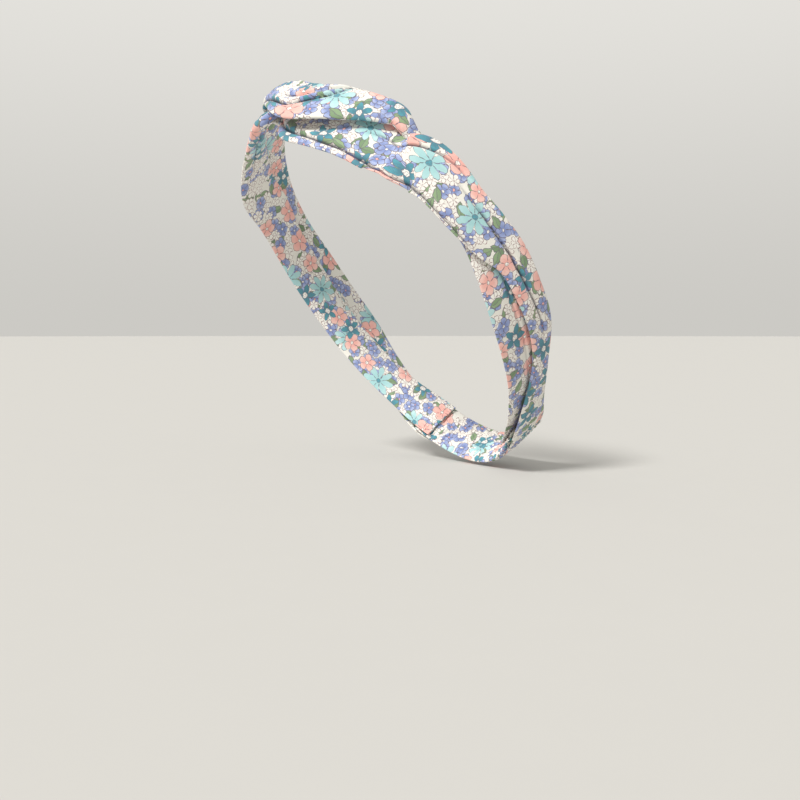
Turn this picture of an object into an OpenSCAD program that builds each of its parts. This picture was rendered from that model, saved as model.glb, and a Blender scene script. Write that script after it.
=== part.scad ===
// Knotted headband: two cotton tubes, each folded in half and looped through the other at the
// forehead, closed at the nape by a gathered casing over flat elastic. Drawn as worn on a head.

/* [Loop round the head] */
// Length from the widest part of the loop forwards to the knot, on the skull
front_half = 105; // [95:1:115]
// Length from the widest part of the loop back to the nape
nape_half = 95; // [88:1:105]
// Half of the width from ear to ear, on the skull
side_half = 73; // [66:1:80]
// How much narrower the loop is at the nape than at the knot
egg = 0.17; // [0:0.01:0.2]
// Tilt of the loop, front edge up
tilt = 52; // [40:1:60]
// Lean of the cloth, rear edge outwards
lean = 4; // [0:1:12]

/* [Knot] */
// Height of the knot's pivot above the skull
pivot_out = 8; // [8:0.1:10]
// Radius of the left loop's middle layer round the right loop
turn_r = 5.6; // [5.6:0.1:6.5]
// Thickness of the left loop in the knot
knot_t = 4.6; // [3.6:0.1:4.6]
// Thickness of the right loop's bunched bend
bend_t = 5.2; // [4:0.1:5.2]

/* [Legs] */
// Thickness of the leg that lies on the skull
under_t = 2.8; // [2:0.1:2.8]
// Thickness of the leg that lies over it
over_t = 3; // [2:0.1:3]
// Middle of the under leg above the skull
under_out = 1.6; // [1.5:0.1:1.7]
// Middle of the over leg above the skull
over_out = 4.9; // [4.9:0.1:5.2]

/* [Nape] */
// How far the nape end sits forwards of the loop's plane, down towards the neck
nape_dip = 4; // [0:0.5:6]
// Angle from the knot at which the loops' gathered ends stop
lip_end = 150; // [148:1:152]
// Angle at which the casing starts, between the gathered ends
casing_start = 143; // [142:1:145]
// Angle at which the elastic starts, ahead of the casing
elastic_start = 140; // [139:1:141]
// Width of the casing
casing_w = 26; // [24:1:28]
// Thickness of the casing over its elastic
casing_t = 3; // [2.8:0.1:3]
// Wall of the casing
casing_wall = 0.5; // [0.4:0.1:0.6]
// Width of the flat elastic
elastic_w = 22; // [20:1:24]
// Thickness of the flat elastic
elastic_t = 1.2; // [0.8:0.1:1.4]

/* [Thread] */
// Diameter of the sewing thread
thread_d = 0.5; // [0.3:0.1:0.6]
// Length of one stitch
stitch_l = 2; // [1.5:0.1:2.5]
// Gap between two stitches
stitch_gap = 0.7; // [0.5:0.1:1]

/* [Hidden] */
// Rings between two stations of a strand, and points round one ring
STEPS = 4;
SIDES = 12;
THREAD_SIDES = 4;
// Squareness of a flattened tube's section: 1 is an ellipse
SECTION_POWER = 0.6;
// Small angle for slopes along the loop
STEP_ANGLE = 0.05;
// Degrees along the loop for each millimetre beside the knot
KNOT_DEG = 180 / (PI * side_half * (1 + egg));
// Inner and outer lips of a loop's gathered end, and the casing between them
LIP_T = 1.8;
LIP_IN = 0.9;
NAPE_OUT = 3.5;
LIP_OUT = 6.1;
LIP_W = 25;
THREAD_SINK = 0.1;
STITCHES = 9;
TACKS = 5;

// A station is [angle from the knot, across the band, out from the skull, width, thickness].
// Across is rearwards. The under leg runs from the nape to the crossing beside the knot.
LEFT_UNDER = [
    [lip_end, -nape_dip, LIP_IN, LIP_W, LIP_T],
    [142, -nape_dip, LIP_IN, LIP_W, LIP_T],
    [130, -4.2, under_out, 22, under_t],
    [117, -3.2, under_out, 19.6, under_t],
    [105, -1.7, under_out, 21, under_t],
    [93, -0.9, under_out, 19.6, under_t],
    [83, 1, under_out, 17.5, under_t],
    [75, 2.2, under_out, 14.5, under_t],
    [66, 2.6, under_out, 12.8, under_t],
    [57, 5, under_out, 11, under_t],
    [51, 9.5, under_out, 9, under_t],
    [47, 11.8, 1.5, 7, 2.8],
    [43, 12.7, 2.7, 7.6, 3.6]
];
// The same tube rises over the crossing to the top of the knot.
LEFT_TOP = [
    [40, 13.3, 5.7, 8.6, 4],
    [37, 13.5, 6.9, 11, 4.4],
    [30, 7.9, 8.3, 16.2, knot_t],
    [22, 0.6, 10.6, 21.5, knot_t],
    [13, -4.5, 11.9, 25, knot_t],
    [5.5, -2, pivot_out + turn_r, 21, knot_t]
];
// Half turn round the right loop, from the top of the knot down to the skull.
LEFT_TURN = [
    for (angle = [90:30:270])
        [turn_r * cos(angle) * KNOT_DEG, 0, pivot_out + turn_r * sin(angle), 15, knot_t]
];
LEFT_WIDE = [
    [5.5, -2, 2.4, 20, knot_t],
    [13, -6, 2.4, 29, 4.4],
    [22, -6.5, 2.3, 28, 4.2],
    [30, -6, 2.2, 25, 4],
    [37, -2.3, 1.6, 28, 3],
    [40, -2.3, 1.6, 26.6, 2.8],
    [41.5, -2.9, 1.9, 23.6, 2.8],
    [43, -2.9, 2.4, 23, 3],
    [45, -2.6, 4, 23, 3.1],
    [47, -1.9, over_out, 25.2, over_t],
    [51, 2.5, over_out, 29.5, over_t],
    [57, 4.7, over_out, 28, over_t],
    [66, 4.9, over_out, 25.6, over_t],
    [75, 7.6, over_out, 23.8, over_t],
    [83, 11.6, over_out, 18.8, over_t],
    [93, 12.3, over_out, 16.4, over_t],
    [105, 12, over_out, 15, over_t],
    [117, 6.7, over_out, 11.6, over_t],
    [130, -0.6, 5.3, 16.7, over_t],
    [142, -nape_dip, LIP_OUT, LIP_W, LIP_T],
    [lip_end, -nape_dip, LIP_OUT, LIP_W, LIP_T]
];
LEFT_STRAND = concat(LEFT_UNDER, LEFT_TOP, LEFT_TURN, LEFT_WIDE);

// The right loop's rear leg lies over its front leg, and the two part beside the knot.
RIGHT_REAR = [
    [lip_end, -nape_dip, LIP_OUT, LIP_W, LIP_T],
    [142, -nape_dip, LIP_OUT, LIP_W, LIP_T],
    [130, -2, 5.3, 20, over_t],
    [117, 3, over_out, 19, over_t],
    [105, 8, over_out, 20, over_t],
    [93, 10, over_out, 20, over_t],
    [80, 9, over_out, 23, over_t],
    [66, 6, over_out, 25, over_t],
    [54, 5, over_out, 25, over_t],
    [42, 6, over_out, 24, over_t],
    [30, 9.5, 6, 21, 4],
    [20, 12.5, 7, 17, 4.8],
    [12, 13.6, 7.8, 12.5, bend_t],
    [6, 13, pivot_out, 9.5, bend_t],
    [1.7, 11, pivot_out, 7.4, bend_t],
    [-0.2, 6.5, pivot_out, 5.6, bend_t]
];
RIGHT_BEND = [[0, 0, pivot_out, 5.4, bend_t]];
RIGHT_FRONT = [
    [-0.2, -6.5, pivot_out, 5.6, bend_t],
    [1.7, -11, pivot_out, 7.4, bend_t],
    [6, -11.8, 6.8, 9, bend_t],
    [12, -10.8, 4.4, 10.8, 4.8],
    [20, -9.6, 2.6, 15.2, 4.2],
    [30, -8.8, 1.8, 20, 3.4],
    [42, -8, under_out, 24, under_t],
    [54, -3, under_out, 24, under_t],
    [66, -2, under_out, 22, under_t],
    [80, -2, under_out, 22, under_t],
    [93, -3, under_out, 21, under_t],
    [105, -4, under_out, 21, under_t],
    [117, -4.5, under_out, 21, under_t],
    [130, -4.2, under_out, 22, under_t],
    [142, -nape_dip, LIP_IN, LIP_W, LIP_T],
    [lip_end, -nape_dip, LIP_IN, LIP_W, LIP_T]
];
RIGHT_STRAND = mirrored(concat(RIGHT_REAR, RIGHT_BEND, RIGHT_FRONT));

// The casing and the elastic run past the nape, from one loop's ends to the other's.
CASING_RUN = nape_run(casing_start, casing_w, casing_t);
CASING_BORE = nape_run(casing_start, casing_w - 2 * casing_wall, casing_t - 2 * casing_wall);
ELASTIC_RUN = nape_run(elastic_start, elastic_w, elastic_t);

function mirrored(run) = [for (s = run) [-s[0], s[1], s[2], s[3], s[4]]];
function nape_run(start, width, thick) =
    [for (i = [0:8]) [start + (360 - 2 * start) * i / 8, -nape_dip, NAPE_OUT, width, thick]];

// The skull line in the plane of the loop, its direction and its outward normal.
function skull_half(angle) = cos(angle) > 0 ? front_half : nape_half;
function skull(angle) =
    [side_half * sin(angle) * (1 + egg * cos(angle)), -skull_half(angle) * cos(angle), 0];
function unit(v) = v / norm(v);
function along(angle) = unit(skull(angle + STEP_ANGLE) - skull(angle - STEP_ANGLE));
function outward(angle) = [along(angle).y, -along(angle).x, 0];
// The cloth's own outward and rearward directions, turned by its lean.
function cloth_out(angle) = outward(angle) * cos(lean) - [0, 0, sin(lean)];
function cloth_rear(angle) = [0, 0, cos(lean)] + outward(angle) * sin(lean);
function place(s) = skull(s[0]) + cloth_out(s[0]) * s[2] + cloth_rear(s[0]) * s[1];

// Smooth values between stations: a cubic through each pair that keeps its neighbours' slope.
function clamp_at(run, i) = run[max(0, min(len(run) - 1, i))];
function between(run, i, f) =
    let (a = clamp_at(run, i - 1), b = run[i], c = clamp_at(run, i + 1), d = clamp_at(run, i + 2))
    b + 0.5 * f * (c - a + f * (2 * a - 5 * b + 4 * c - d + f * (3 * (b - c) + d - a)));
function smooth_run(run, steps) = concat(
    [for (i = [0:len(run) - 2], k = [0:steps - 1]) between(run, i, k / steps)],
    [run[len(run) - 1]]
);

// Direction of a strand's middle line at one ring, then its width and thickness directions.
function heading(path, i) =
    unit(path[min(len(path) - 1, i + 1)] - path[max(0, i - 1)]);
function square_to(v, axis) = unit(v - axis * (v * axis));
function wide_axis(s, ahead, flat) =
    flat ? unit(cross(ahead, cloth_out(s[0]))) : square_to(cloth_rear(s[0]), ahead);
function power(v) = sign(v) * pow(abs(v), SECTION_POWER);
function ring(centre, ahead, wide, width, thick, sides) = [
    for (k = [0:sides - 1])
        let (angle = (k + 0.5) * 360 / sides)
        centre + wide * (width / 2 * power(cos(angle)))
            + cross(ahead, wide) * (thick / 2 * power(sin(angle)))
];
// Rings of a strand. flat keeps its thickness along the skull's normal, as it bends sideways.
function rings(run, flat) =
    let (fine = smooth_run(run, STEPS), path = [for (s = fine) place(s)])
    [
        for (i = [0:len(path) - 1])
            let (ahead = heading(path, i))
            ring(path[i], ahead, wide_axis(fine[i], ahead, flat), fine[i][3], fine[i][4], SIDES)
    ];
// Thread along the rear edge of a strand, half sunk into the cloth.
function edge_rings(run, flat) =
    let (
        fine = smooth_run(run, STEPS),
        path = [for (s = fine) place(s)],
        edge = [
            for (i = [0:len(path) - 1])
                path[i] + wide_axis(fine[i], heading(path, i), flat) * (fine[i][3] / 2)
        ]
    )
    [
        for (i = [1:len(path) - 2])
            let (ahead = heading(edge, i), wide = square_to([0, 0, 1], ahead))
            ring(edge[i], ahead, wide, thread_d, thread_d, THREAD_SIDES)
    ];

function wall_faces(first, count, sides) = [
    for (i = [0:count - 2], k = [0:sides - 1])
        let (a = first + i * sides + k, b = first + i * sides + (k + 1) % sides)
        [a, b, b + sides, a + sides]
];
function flipped(faces) = [for (f = faces) [for (k = [len(f) - 1:-1:0]) f[k]]];
function joined(lists) = [for (l = lists, p = l) p];

module strand(rows, sides = SIDES) {
    count = len(rows);
    start_cap = [[for (k = [sides - 1:-1:0]) k]];
    end_cap = [[for (k = [0:sides - 1]) (count - 1) * sides + k]];
    faces = concat(wall_faces(0, count, sides), start_cap, end_cap);
    polyhedron(points = joined(rows), faces = flipped(faces), convexity = 8);
}

// A tube with a bore along it: an outer and an inner wall, closed by a flat rim at each end.
module hollow_strand(outer, inner) {
    count = len(outer);
    half = count * SIDES;
    last = (count - 1) * SIDES;
    start_rim = [
        for (k = [0:SIDES - 1])
            let (n = (k + 1) % SIDES)
            [k, half + k, half + n, n]
    ];
    end_rim = [
        for (k = [0:SIDES - 1])
            let (n = (k + 1) % SIDES)
            [last + k, last + n, half + last + n, half + last + k]
    ];
    faces = concat(
        wall_faces(0, count, SIDES),
        flipped(wall_faces(half, count, SIDES)),
        start_rim,
        end_rim
    );
    polyhedron(points = concat(joined(outer), joined(inner)), faces = flipped(faces), convexity = 8);
}

// Everything is drawn in the plane of the loop, then tilted as it is worn.
module worn() {
    rotate([-tilt, 0, 0]) children();
}

// Moves its children onto the band, x along it, y rearwards and z outwards.
module on_band(angle, across, out) {
    heading_angle = atan2(along(angle).y, along(angle).x);
    translate(place([angle, across, out]))
        rotate([0, 0, heading_angle])
            rotate([90 + lean, 0, 0])
                children();
}

module left_loop() {
    color("lavender") worn() strand(rings(LEFT_STRAND, false));
}

module right_loop() {
    color("lightsteelblue") worn() strand(rings(RIGHT_STRAND, true));
}

module nape_casing() {
    color("thistle") worn() hollow_strand(rings(CASING_RUN, false), rings(CASING_BORE, false));
}

module nape_elastic() {
    color("white") worn() strand(rings(ELASTIC_RUN, false));
}

module left_loop_seam() {
    color("ivory") worn() strand(edge_rings(LEFT_STRAND, false), THREAD_SIDES);
}

module right_loop_seam() {
    color("ivory") worn() strand(edge_rings(RIGHT_STRAND, true), THREAD_SIDES);
}

module casing_seam() {
    color("ivory") worn() strand(edge_rings(CASING_RUN, false), THREAD_SIDES);
}

// One stitch is a short bar of thread lying across the band.
module stitch() {
    cube([thread_d, stitch_l, thread_d], center = true);
}

// A row of stitches on the outer lip and one on the inner lip, side is 1 left and -1 right.
module join_stitches(side) {
    pitch = stitch_l + stitch_gap;
    row_angle = side * (lip_end - 3);
    outer_face = LIP_OUT + LIP_T / 2 + thread_d / 2 - THREAD_SINK;
    inner_face = LIP_IN - LIP_T / 2 - thread_d / 2 + THREAD_SINK;
    for (i = [0:STITCHES - 1], out = [outer_face, inner_face])
        on_band(row_angle, (i - (STITCHES - 1) / 2) * pitch - nape_dip, out) stitch();
}

// Bars of thread that lock the end of the elastic between the lips.
module elastic_bartack(side) {
    pitch = elastic_w / (TACKS + 1);
    tack_angle = side * (elastic_start + 1.5);
    tack_out = NAPE_OUT + elastic_t / 2 + thread_d / 2 + THREAD_SINK;
    for (i = [0:TACKS - 1])
        on_band(tack_angle, (i - (TACKS - 1) / 2) * pitch - nape_dip, tack_out) stitch();
}

module left_join_stitches() {
    color("ivory") worn() join_stitches(1);
}

module right_join_stitches() {
    color("ivory") worn() join_stitches(-1);
}

module left_elastic_bartack() {
    color("white") worn() elastic_bartack(1);
}

module right_elastic_bartack() {
    color("white") worn() elastic_bartack(-1);
}

left_loop();
right_loop();
nape_casing();
nape_elastic();
left_loop_seam();
right_loop_seam();
casing_seam();
left_join_stitches();
right_join_stitches();
left_elastic_bartack();
right_elastic_bartack();
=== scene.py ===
"""Knotted headband of printed cotton lawn: two cloth tubes looped through each other, a gathered
casing over elastic at the nape, and the thread that holds them. Lengths in this file are in
millimetres until a mesh is made, and the made meshes are in metres."""

import math

import bmesh
import bpy
import numpy as np
from mathutils import Matrix, Vector, noise


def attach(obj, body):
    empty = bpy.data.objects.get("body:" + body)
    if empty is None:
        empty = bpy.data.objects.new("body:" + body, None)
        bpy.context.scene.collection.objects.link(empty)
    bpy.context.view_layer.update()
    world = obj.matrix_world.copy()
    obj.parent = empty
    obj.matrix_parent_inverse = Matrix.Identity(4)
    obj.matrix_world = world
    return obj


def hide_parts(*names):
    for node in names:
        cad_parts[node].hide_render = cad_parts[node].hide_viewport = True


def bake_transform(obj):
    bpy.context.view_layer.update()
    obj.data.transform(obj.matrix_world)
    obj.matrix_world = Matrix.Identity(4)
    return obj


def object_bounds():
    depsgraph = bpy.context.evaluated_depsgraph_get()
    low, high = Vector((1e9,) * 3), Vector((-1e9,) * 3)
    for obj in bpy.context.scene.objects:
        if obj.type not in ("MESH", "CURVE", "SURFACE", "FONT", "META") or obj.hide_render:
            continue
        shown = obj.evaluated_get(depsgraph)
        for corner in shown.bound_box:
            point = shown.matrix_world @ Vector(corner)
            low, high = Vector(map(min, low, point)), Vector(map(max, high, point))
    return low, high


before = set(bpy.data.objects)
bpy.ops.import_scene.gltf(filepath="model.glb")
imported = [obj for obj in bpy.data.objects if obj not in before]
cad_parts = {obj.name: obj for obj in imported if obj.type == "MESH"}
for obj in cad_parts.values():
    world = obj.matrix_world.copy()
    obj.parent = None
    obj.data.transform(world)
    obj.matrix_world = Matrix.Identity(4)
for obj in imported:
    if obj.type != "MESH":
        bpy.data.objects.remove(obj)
cad_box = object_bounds()

MM = 0.001

# The loop round the head, as in the CAD model
FRONT_HALF = 105.0
NAPE_HALF = 95.0
SIDE_HALF = 73.0
EGG = 0.17
TILT = math.radians(52.0)
LEAN = math.radians(4.0)

# The knot
PIVOT_OUT = 8.0
TURN_R = 5.6
KNOT_T = 4.6
BEND_T = 5.2
KNOT_DEG = 180.0 / (math.pi * SIDE_HALF * (1 + EGG))

# The legs that lie round the head, and the gathered ends at the nape
UNDER_T = 2.6
OVER_T = 2.8
UNDER_OUT = 1.6
OVER_OUT = 4.9
LIP_T = 1.8
LIP_IN = 0.9
NAPE_OUT = 3.5
LIP_OUT = 6.1
LIP_W = 25.0
LIP_END = 150.0
NAPE_DIP = -4.0
CASING_START = 143.0
CASING_W = 26.0
CASING_T = 3.0
ELASTIC_START = 140.0
ELASTIC_W = 22.0
ELASTIC_T = 1.2

# Cloth
CLOTH_T = 0.3
# Cloth sunk this far into a fold takes its full painted crease shade
CREASE_DEEP = 1.5
# Ripples, gathers, ruches and the elastic's ribs, in millimetres
RIPPLE = 0.22
RIPPLE_LONG = 22.0
RIPPLE_WIDE = 6.0
KNOT_RIPPLE = 0.5
GATHER_PITCH = 2.3
GATHER_DEPTH = 0.45
RUCHE_PITCH = 3.9
RUCHE_DEPTH = 0.75
ELASTIC_PITCH = 1.1
ELASTIC_RIB = 0.16

# Thread
STITCH_L = 2.0
STITCH_GAP = 0.7
THREAD_R = 0.2
SEAM_SINK = 0.12
STITCHES = 9
TACKS = 5
LOOP_SEAM_SKIP = 3.0
CASING_SEAM_SKIP = 2.0
JOIN_INSET = 3
TACK_INSET = 1.5
TACK_SIT = 0.6

# How finely each strand is meshed: rings along it and places round it
LOOP_RINGS = 520
LOOP_ROUND = 144
CASING_RINGS = 300
CASING_ROUND = 96
ELASTIC_RINGS = 160
ELASTIC_ROUND = 160

# Each cloth's own ripples, and where on the printed cloth it is cut
LEFT_SEED = 3.0
RIGHT_SEED = 8.0
CASING_SEED = 5.0
LEFT_PRINT = 0.0
RIGHT_PRINT = 700.0
CASING_PRINT = 1400.0

# A station is angle from the knot, across the band (rearwards), out from the skull, width, thickness
LEFT_UNDER = [
    (LIP_END, NAPE_DIP, LIP_IN, LIP_W, LIP_T),
    (142, NAPE_DIP, LIP_IN, LIP_W, LIP_T),
    (130, -4.2, UNDER_OUT, 22, UNDER_T),
    (117, -3.2, UNDER_OUT, 19.6, UNDER_T),
    (105, -1.7, UNDER_OUT, 21, UNDER_T),
    (93, -0.9, UNDER_OUT, 19.6, UNDER_T),
    (83, 1, UNDER_OUT, 17.5, UNDER_T),
    (75, 2.2, UNDER_OUT, 14.5, UNDER_T),
    (66, 2.6, UNDER_OUT, 12.8, UNDER_T),
    (57, 5, UNDER_OUT, 11, UNDER_T),
    (51, 9.5, UNDER_OUT, 9, UNDER_T),
    (47, 11.8, 1.5, 7, 2.8),
    (43, 12.4, 2.7, 8.2, 3.6),
]
LEFT_TOP = [
    (40, 12.9, 5.4, 9.6, 4),
    (37, 13.1, 6.7, 12, 4.4),
    (30, 7.9, 8.3, 16.2, KNOT_T),
    (22, 0.6, 10.6, 21.5, KNOT_T),
    (13, -4.5, 11.9, 25, KNOT_T),
    (5.5, -2, PIVOT_OUT + TURN_R, 21, KNOT_T),
]
LEFT_TURN = [
    (
        TURN_R * math.cos(math.radians(a)) * KNOT_DEG,
        0,
        PIVOT_OUT + TURN_R * math.sin(math.radians(a)),
        15,
        KNOT_T,
    )
    for a in range(90, 271, 30)
]
LEFT_WIDE = [
    (5.5, -2, 2.4, 20, KNOT_T),
    (13, -6, 2.4, 29, 4.4),
    (22, -6.5, 2.3, 28, 4.2),
    (30, -5.2, 2.1, 26.4, 3.7),
    (37, -2.9, 1.7, 27.8, 3),
    (40, -2.2, 1.7, 27.6, 2.8),
    (41.5, -2.3, 1.9, 26, 2.8),
    (43, -2.7, 2.5, 23.8, 3),
    (45, -2.6, 4, 23, 3.1),
    (47, -1.9, OVER_OUT, 25.2, OVER_T),
    (51, 2.5, OVER_OUT, 29.5, OVER_T),
    (57, 4.7, OVER_OUT, 28, OVER_T),
    (66, 4.9, OVER_OUT, 25.6, OVER_T),
    (75, 7.6, OVER_OUT, 23.8, OVER_T),
    (83, 11.6, OVER_OUT, 18.8, OVER_T),
    (93, 12.3, OVER_OUT, 16.4, OVER_T),
    (105, 12, OVER_OUT, 15, OVER_T),
    (117, 6.7, OVER_OUT, 11.6, OVER_T),
    (130, -0.6, 5.3, 16.7, OVER_T),
    (142, NAPE_DIP, LIP_OUT, LIP_W, LIP_T),
    (LIP_END, NAPE_DIP, LIP_OUT, LIP_W, LIP_T),
]
RIGHT_REAR = [
    (LIP_END, NAPE_DIP, LIP_OUT, LIP_W, LIP_T),
    (142, NAPE_DIP, LIP_OUT, LIP_W, LIP_T),
    (130, -2, 5.3, 20, OVER_T),
    (117, 3, OVER_OUT, 19, OVER_T),
    (105, 8, OVER_OUT, 20, OVER_T),
    (93, 10, OVER_OUT, 20, OVER_T),
    (80, 9, OVER_OUT, 23, OVER_T),
    (66, 6, OVER_OUT, 25, OVER_T),
    (54, 5, OVER_OUT, 25, OVER_T),
    (42, 6, OVER_OUT, 24, OVER_T),
    (30, 9.5, 6, 21, 4),
    (20, 12.5, 7, 17, 4.8),
    (12, 13.6, 7.8, 12.5, BEND_T),
    (6, 13, PIVOT_OUT, 9.5, BEND_T),
    (1.7, 11, PIVOT_OUT, 7.4, BEND_T),
    (-0.2, 6.5, PIVOT_OUT, 5.6, BEND_T),
]
RIGHT_BEND = [(0, 0, PIVOT_OUT, 5.4, BEND_T)]
RIGHT_FRONT = [
    (-0.2, -6.5, PIVOT_OUT, 5.6, BEND_T),
    (1.7, -11, PIVOT_OUT, 7.4, BEND_T),
    (6, -11.8, 6.8, 9, BEND_T),
    (12, -10.8, 4.4, 10.8, 4.8),
    (20, -9.6, 2.6, 15.2, 4.2),
    (30, -8.8, 1.8, 20, 3.4),
    (42, -8, UNDER_OUT, 24, UNDER_T),
    (54, -3, UNDER_OUT, 24, UNDER_T),
    (66, -2, UNDER_OUT, 22, UNDER_T),
    (80, -2, UNDER_OUT, 22, UNDER_T),
    (93, -3, UNDER_OUT, 21, UNDER_T),
    (105, -4, UNDER_OUT, 21, UNDER_T),
    (117, -4.5, UNDER_OUT, 21, UNDER_T),
    (130, -4.2, UNDER_OUT, 22, UNDER_T),
    (142, NAPE_DIP, LIP_IN, LIP_W, LIP_T),
    (LIP_END, NAPE_DIP, LIP_IN, LIP_W, LIP_T),
]
LEFT_STATIONS = LEFT_UNDER + LEFT_TOP + LEFT_TURN + LEFT_WIDE
RIGHT_STATIONS = [(-s[0], *s[1:]) for s in RIGHT_REAR + RIGHT_BEND + RIGHT_FRONT]


# ---------------------------------------------------------------- the loop round the head


def unit(v):
    return v / np.linalg.norm(v, axis=-1, keepdims=True)


def skull(angle):
    """Point of the skull line in the plane of the loop, for each angle in degrees."""
    a = np.radians(angle)
    x = SIDE_HALF * np.sin(a) * (1 + EGG * np.cos(a))
    y = -np.where(np.cos(a) > 0, FRONT_HALF, NAPE_HALF) * np.cos(a)
    return np.stack([x, y, np.zeros_like(x)], -1)


def cloth_axes(angle):
    """Directions along the band, outwards and rearwards, turned by the cloth's lean."""
    step = 0.05
    along = unit(skull(angle + step) - skull(angle - step))
    outward = np.stack([along[..., 1], -along[..., 0], np.zeros_like(angle)], -1)
    up = np.array([0.0, 0.0, 1.0])
    out = outward * math.cos(LEAN) - up * math.sin(LEAN)
    rear = up * math.cos(LEAN) + outward * math.sin(LEAN)
    return along, out, rear


def tilted(points):
    """From the plane of the loop to the frame of the part, in metres."""
    c = math.cos(-TILT)
    s = math.sin(-TILT)
    x, y, z = points[..., 0], points[..., 1], points[..., 2]
    return np.stack([x, y * c - z * s, y * s + z * c], -1) * MM


def cubic(rows, t):
    """Smooth rows at fractional row numbers t, the same curve as the CAD model's."""
    rows = np.asarray(rows, float)
    i = np.clip(np.floor(t).astype(int), 0, len(rows) - 2)
    f = (t - i)[:, None]
    a = rows[np.maximum(i - 1, 0)]
    b = rows[i]
    c = rows[i + 1]
    d = rows[np.minimum(i + 2, len(rows) - 1)]
    return b + 0.5 * f * (c - a + f * (2 * a - 5 * b + 4 * c - d + f * (3 * (b - c) + d - a)))


class Spine:
    """Evenly spaced rings of a strand: place, directions, width, thickness and cloth length."""

    def __init__(self, stations, rings, flat):
        fine = np.linspace(0, len(stations) - 1, 3000)
        rows = cubic(stations, fine)
        path = self.places(rows)
        steps = np.linalg.norm(np.diff(path, axis=0), axis=1)
        length = np.concatenate([[0], np.cumsum(steps)])
        even = np.linspace(0, length[-1], rings)
        self.row = np.interp(even, length, fine)
        self.length = even
        rows = cubic(stations, self.row)
        self.angle, self.across, self.out, self.width, self.thick = rows.T
        self.path = self.places(rows)
        self.ahead = unit(np.gradient(self.path, axis=0))
        out, rear = cloth_axes(self.angle)[1:]
        if flat:
            wide = np.cross(self.ahead, out)
        else:
            wide = rear - self.ahead * np.sum(rear * self.ahead, axis=1, keepdims=True)
        self.wide = unit(wide)
        self.face = np.cross(self.ahead, self.wide)

    @staticmethod
    def places(rows):
        out, rear = cloth_axes(rows[:, 0])[1:]
        return skull(rows[:, 0]) + out * rows[:, 2:3] + rear * rows[:, 1:2]


# ---------------------------------------------------------------- cloth tubes


class Fold:
    """A crease along one face of a strand. Its knots are (station row, millimetres across from the
    middle, depth of the groove, height of the roll of cloth beside it)."""

    def __init__(self, face, knots, roll_side=1, groove=0.75, roll=3.5):
        self.face = face
        self.knots = np.array(knots, float)
        self.roll_side = roll_side
        self.groove = groove
        self.roll = roll

    def height(self, row, x):
        """How far the crease moves the cloth outwards."""
        k = self.knots
        centre = np.interp(row, k[:, 0], k[:, 1])[:, None]
        depth = np.interp(row, k[:, 0], k[:, 2], left=0, right=0)[:, None]
        rise = np.interp(row, k[:, 0], k[:, 3], left=0, right=0)[:, None]
        d = (x - centre) * self.roll_side
        groove = -depth * np.exp(-((d / self.groove) ** 2))
        past = np.clip(d, 0, None)
        before = np.clip(-d, 0, None)
        hollow = -0.45 * depth * np.exp(-before / (2.2 * self.groove)) * (d < 0)
        roll = rise * np.exp(-past / self.roll) * (1 - np.exp(-((past / 0.45) ** 2)))
        return groove + hollow * (1 - np.exp(-((before / 0.3) ** 2))) + roll


def tube_profile(count):
    """Unit places round a flattened tube, from its rear edge: across, and height with its face."""
    s = np.linspace(-1, 1, count // 2, endpoint=False)
    across = 0.4 * s + 0.6 * np.sin(s * math.pi / 2)
    height = np.sqrt(np.clip(1 - np.abs(across) ** 3, 0, 1))
    face = np.repeat([-1.0, 1.0], count // 2)
    return np.concatenate([-across, across]), np.concatenate([-height, height]), face


def soft_noise(along, x, face, seed):
    """Uneven ripples, -1 to 1, at every ring and place round it."""
    out = np.empty(x.shape)
    for i in range(x.shape[0]):
        for k in range(x.shape[1]):
            out[i, k] = noise.noise((along[i], x[i, k], face[k] * 3.1 + seed))
    return out


def end_fade(spine, reach):
    """1 at both ends of a strand and 0 past a reach from them."""
    nearest = np.minimum(spine.length, spine.length[-1] - spine.length)
    return np.clip(1 - nearest / reach, 0, 1)[:, None]


def strand_lift(spine, x, face, folds, seed):
    """Creases, crumples and gathers of a loop's cloth, in millimetres outwards."""
    lift = np.zeros_like(x)
    for fold in folds:
        lift += np.where((face == fold.face)[None, :], fold.height(spine.row, x), 0)
    ends = end_fade(spine, 26.0)
    knot = np.exp(-((spine.angle / 16.0) ** 2))[:, None]
    long_ripple = soft_noise(spine.length / RIPPLE_LONG, x / RIPPLE_WIDE, face, seed)
    short_ripple = soft_noise(spine.length / 5.0, x / 2.1, face, seed + 20)
    lift += long_ripple * (RIPPLE + KNOT_RIPPLE * knot) * (1 - ends)
    lift += short_ripple * (0.10 + 0.28 * knot) * (1 - ends)
    wander = soft_noise(spine.length / 14.0, x / 9.0, face, seed + 40)
    gathers = 0.5 + 0.5 * np.sin(x * math.tau / GATHER_PITCH + wander * 5.0)
    return lift - gathers * GATHER_DEPTH * ends


def casing_lift(spine, x, face, seed):
    """Crosswise ruches of the nape casing, shallower between the loops' lips."""
    wander = soft_noise(spine.length / 11.0, x / 8.0, face, seed)
    ridge = np.sin(spine.length[:, None] * math.tau / RUCHE_PITCH + wander * 7.0)
    small = soft_noise(spine.length / 1.6, x / 6.0, face, seed + 9)
    free = 1 - end_fade(spine, 16.0) ** 2
    return (RUCHE_DEPTH * (0.35 + 0.65 * ridge) + 0.3 * small) * free - 0.15


def elastic_lift(spine, x, face):
    """Lengthwise ribs of the elastic."""
    return ELASTIC_RIB * np.abs(np.sin(x * math.pi / ELASTIC_PITCH)) - ELASTIC_RIB / 2


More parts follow.
